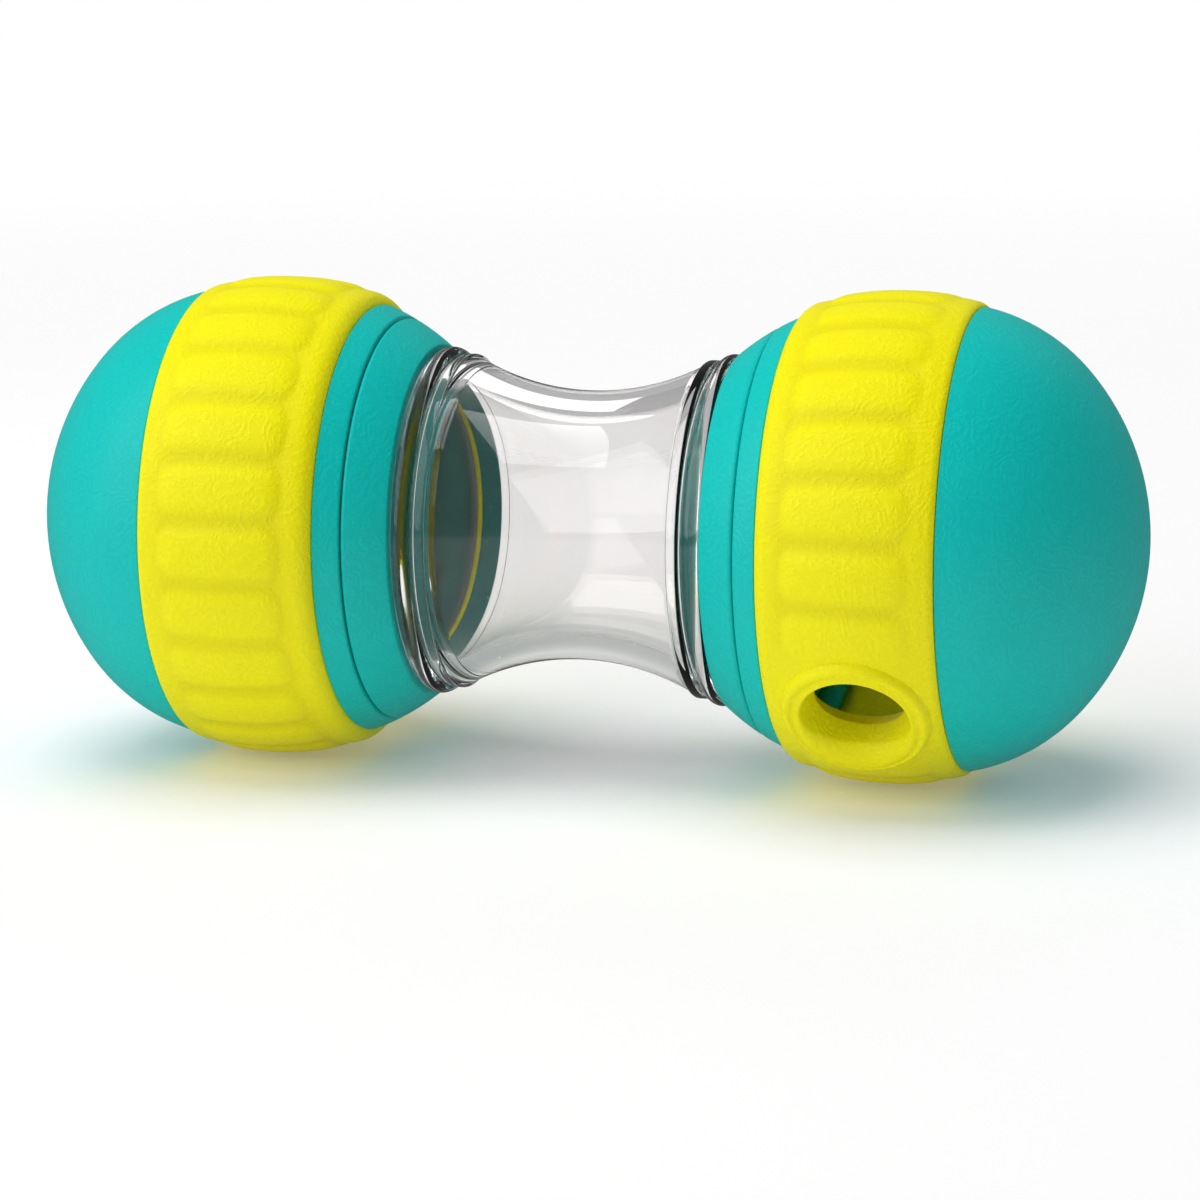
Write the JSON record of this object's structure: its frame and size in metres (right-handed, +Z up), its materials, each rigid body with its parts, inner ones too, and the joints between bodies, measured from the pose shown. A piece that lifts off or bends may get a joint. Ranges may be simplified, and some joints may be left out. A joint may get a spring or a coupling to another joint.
{
  "type": "pet puzzle feeder",
  "caption": "Dumbbell-shaped rolling treat dispenser: clear waisted tube, hollow screw-on ball ends, ribbed soft treads, and a rimmed treat outlet in each tread.",
  "frame": {"origin": "on the floor under the middle of the clear tube, centre of the bounding box's bottom face", "axes": "+X along the toy's long axis, +Z up; the outlet of the +X ball lies low on the -Y side"},
  "size_m": [0.185, 0.08, 0.08],
  "materials": {
    "clear_plastic": "clear, polished",
    "teal_plastic": "satin with a fine moulded grain",
    "yellow_plastic": "satin",
    "yellow_rubber": "soft satin with a fine moulded grain",
    "silicone": "matt"
  },
  "bodies": {
    "tube": {"viewing_tube": "clear_plastic"},
    "right_seal": {"right_neck_seal": "silicone"},
    "right_ball": {"right_neck_collar": "teal_plastic", "right_inner_shell": "teal_plastic", "right_core_ring": "yellow_plastic", "right_tread_ring": "yellow_rubber", "right_end_dome": "teal_plastic"},
    "left_seal": {"left_neck_seal": "silicone"},
    "left_ball": {"left_neck_collar": "teal_plastic", "left_inner_shell": "teal_plastic", "left_core_ring": "yellow_plastic", "left_tread_ring": "yellow_rubber", "left_end_dome": "teal_plastic"}
  },
  "joints": [
    {"name": "right_ball_turn", "type": "hinge", "parent": "tube", "child": "right_seal", "pos_m": [0.0256, 0, 0.04], "axis": [1, 0, 0], "range_deg": [0, 288]},
    {"name": "right_ball_advance", "type": "slide", "parent": "right_seal", "child": "right_ball", "axis": [1, 0, 0], "range_m": [0, 0.012]},
    {"name": "left_ball_turn", "type": "hinge", "parent": "tube", "child": "left_seal", "pos_m": [-0.0256, 0, 0.04], "axis": [-1, 0, 0], "range_deg": [0, 288]},
    {"name": "left_ball_advance", "type": "slide", "parent": "left_seal", "child": "left_ball", "axis": [-1, 0, 0], "range_m": [0, 0.012]}
  ],
  "couplings": [
    {"joint": "right_ball_advance", "follows": "right_ball_turn", "m_per_rad": 0.002387},
    {"joint": "left_ball_advance", "follows": "left_ball_turn", "m_per_rad": 0.002387}
  ]
}
